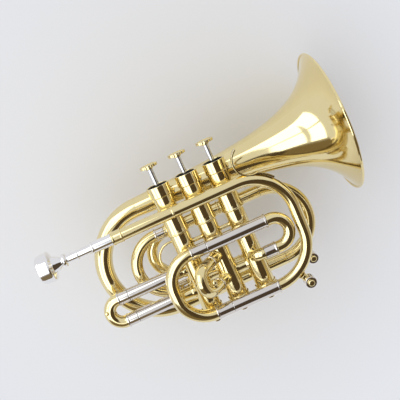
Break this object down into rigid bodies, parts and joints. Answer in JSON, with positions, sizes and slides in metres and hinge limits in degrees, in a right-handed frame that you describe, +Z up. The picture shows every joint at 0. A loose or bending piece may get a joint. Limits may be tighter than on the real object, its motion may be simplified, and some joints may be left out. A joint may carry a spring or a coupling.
{
  "type": "pocket trumpet",
  "caption": "Compact three-valve brass trumpet wound into tight loops, with pull slides, water keys and a separate mouthpiece.",
  "frame": {"origin": "on the second valve's axis, level with the leadpipe's axis, where the left hand holds the valve casings", "axes": "+X along the bell towards its rim, +Y to the player's left, +Z up through the finger buttons"},
  "size_m": [0.2892, 0.1322, 0.1887],
  "materials": {
    "brass": "polished under clear lacquer",
    "nickel_silver": "polished",
    "silver_plate": "polished",
    "monel": "honed",
    "spring_steel": "plain",
    "felt": "matte felt"
  },
  "bodies": {
    "trumpet": {"casing_1": "brass", "casing_2": "brass", "casing_3": "brass", "top_cap_1": "brass", "top_cap_2": "brass", "top_cap_3": "brass", "cap_felt_1": "felt", "cap_felt_2": "felt", "cap_felt_3": "felt", "bottom_cap_1": "brass", "bottom_cap_2": "brass", "bottom_cap_3": "brass", "piston_spring_1": "spring_steel", "piston_spring_2": "spring_steel", "piston_spring_3": "spring_steel", "knuckle_1_2": "brass", "knuckle_2_3": "brass", "casing_brace_1_2": "brass", "casing_brace_2_3": "brass", "mouthpiece_receiver": "silver_plate", "leadpipe": "brass", "leadpipe_bow": "brass", "leadpipe_brace": "brass", "main_sleeve_upper": "nickel_silver", "main_sleeve_lower": "nickel_silver", "small_bow": "brass", "inlet_ferrule": "nickel_silver", "inlet_elbow": "brass", "first_sleeve_upper": "nickel_silver", "first_sleeve_lower": "nickel_silver", "second_sleeve_upper": "nickel_silver", "second_sleeve_lower": "nickel_silver", "third_sleeve_upper": "nickel_silver", "third_sleeve_lower": "nickel_silver", "third_elbow_upper": "brass", "third_elbow_lower": "brass", "bell": "brass", "bell_bow": "brass", "bell_foot_tube": "brass", "front_bow": "brass", "return_tube": "brass", "tail_bow": "brass", "finger_ring": "brass", "finger_hook": "brass", "front_water_key_body": "nickel_silver", "back_water_key_body": "nickel_silver"},
    "valve_1": {"piston_1": "monel", "finger_button_1": "brass"},
    "valve_2": {"piston_2": "monel", "finger_button_2": "brass"},
    "valve_3": {"piston_3": "monel", "finger_button_3": "brass"},
    "mouthpiece_body": {"mouthpiece": "silver_plate"},
    "main_tuning_slide": {"main_slide": "brass"},
    "first_valve_slide": {"first_slide": "brass"},
    "second_valve_slide": {"second_slide": "brass", "second_slide_knob": "brass"},
    "third_valve_slide": {"third_slide": "brass"},
    "front_water_key": {"front_water_key_button": "silver_plate"},
    "back_water_key": {"back_water_key_button": "silver_plate"}
  },
  "joints": [
    {"name": "valve_1_press", "type": "slide", "parent": "trumpet", "child": "valve_1", "axis": [0, 0, -1], "range_m": [0, 0.0155], "stiffness_N_per_m": 100, "springref_m": -0.02, "deforming": ["piston_spring_1"]},
    {"name": "valve_2_press", "type": "slide", "parent": "trumpet", "child": "valve_2", "axis": [0, 0, -1], "range_m": [0, 0.0155], "stiffness_N_per_m": 100, "springref_m": -0.02, "deforming": ["piston_spring_2"]},
    {"name": "valve_3_press", "type": "slide", "parent": "trumpet", "child": "valve_3", "axis": [0, 0, -1], "range_m": [0, 0.0155], "stiffness_N_per_m": 100, "springref_m": -0.02, "deforming": ["piston_spring_3"]},
    {"name": "mouthpiece_pull", "type": "slide", "parent": "trumpet", "child": "mouthpiece_body", "axis": [-1, 0, 0], "range_m": [0, 0.025]},
    {"name": "main_slide_pull", "type": "slide", "parent": "trumpet", "child": "main_tuning_slide", "axis": [-1, 0, 0], "range_m": [0, 0.025]},
    {"name": "first_slide_pull", "type": "slide", "parent": "trumpet", "child": "first_valve_slide", "axis": [-1, 0, 0], "range_m": [0, 0.018]},
    {"name": "second_slide_pull", "type": "slide", "parent": "trumpet", "child": "second_valve_slide", "axis": [-0.5878, -0.809, 0], "range_m": [0, 0.005]},
    {"name": "third_slide_pull", "type": "slide", "parent": "trumpet", "child": "third_valve_slide", "axis": [-1, 0, 0], "range_m": [0, 0.013]},
    {"name": "front_water_key_press", "type": "slide", "parent": "trumpet", "child": "front_water_key", "axis": [0, 1, 0], "range_m": [0, 0.002], "stiffness_N_per_m": 400, "springref_m": -0.002},
    {"name": "back_water_key_press", "type": "slide", "parent": "trumpet", "child": "back_water_key", "axis": [0, 1, 0], "range_m": [0, 0.002], "stiffness_N_per_m": 400, "springref_m": -0.002}
  ]
}
